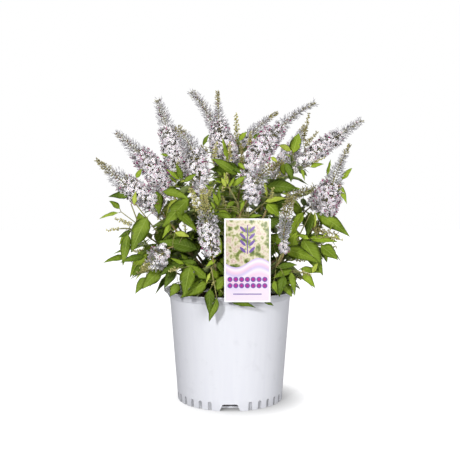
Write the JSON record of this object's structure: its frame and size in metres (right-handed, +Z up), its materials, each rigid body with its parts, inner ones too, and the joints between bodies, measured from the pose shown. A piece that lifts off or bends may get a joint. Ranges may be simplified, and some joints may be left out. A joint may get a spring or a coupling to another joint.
{
  "type": "potted butterfly bush",
  "caption": "Young butterfly bush in flower, with opposite leaves and tapering flower spikes on low boughs, in a round white nursery pot with a label hooked over its rim.",
  "frame": {"origin": "middle of the pot's flat underside, where it stands", "axes": "+Z up; -Y is the front, the side the label hangs on; +X to the right seen from the front"},
  "size_m": [0.5462, 0.4677, 0.6509],
  "materials": {
    "pot_plastic": "smooth white moulded plastic with a low sheen",
    "potting_mix": "dark, coarse bark-based potting mix",
    "label_plastic": "thin printed plastic sheet, satin",
    "bark": "tan to grey-brown young bark",
    "foliage": "soft green leaves and stems, with white and lilac flower spikes"
  },
  "bodies": {
    "root": {"pot": "pot_plastic", "potting_mix": "potting_mix", "label_card": "label_plastic", "label_hook": "label_plastic", "crown": "bark", "bough_centre_front": "bark", "bough_centre_top": "bark", "bough_front_left": "bark", "bough_front_right": "bark", "bough_left_high": "bark", "bough_left_inner": "bark", "bough_left_low": "bark", "bough_left_middle": "bark", "bough_left_nodding": "bark", "bough_rear_1": "bark", "bough_rear_2": "bark", "bough_rear_3": "bark", "bough_rear_4": "bark", "bough_rear_5": "bark", "bough_rear_6": "bark", "bough_rear_7": "bark", "bough_rear_right": "bark", "bough_rear_top": "bark", "bough_right_high": "bark", "bough_right_long": "bark", "bough_right_low": "bark", "foliage_centre_front": "foliage", "foliage_centre_top": "foliage", "foliage_front_left": "foliage", "foliage_front_right": "foliage", "foliage_left_high": "foliage", "foliage_left_inner": "foliage", "foliage_left_low": "foliage", "foliage_left_middle": "foliage", "foliage_left_nodding": "foliage", "foliage_rear_1": "foliage", "foliage_rear_2": "foliage", "foliage_rear_3": "foliage", "foliage_rear_4": "foliage", "foliage_rear_5": "foliage", "foliage_rear_6": "foliage", "foliage_rear_7": "foliage", "foliage_rear_right": "foliage", "foliage_rear_top": "foliage", "foliage_right_high": "foliage", "foliage_right_long": "foliage", "foliage_right_low": "foliage", "foliage_skirt_front": "foliage", "foliage_skirt_front_left": "foliage", "foliage_skirt_front_right": "foliage", "foliage_skirt_left": "foliage", "foliage_skirt_left_low": "foliage", "foliage_skirt_left_rear": "foliage", "foliage_skirt_rear": "foliage", "foliage_skirt_rear_left": "foliage", "foliage_skirt_rear_middle": "foliage", "foliage_skirt_rear_right": "foliage", "foliage_skirt_right": "foliage", "foliage_skirt_right_low": "foliage", "foliage_skirt_right_rear": "foliage"}
  },
  "joints": []
}
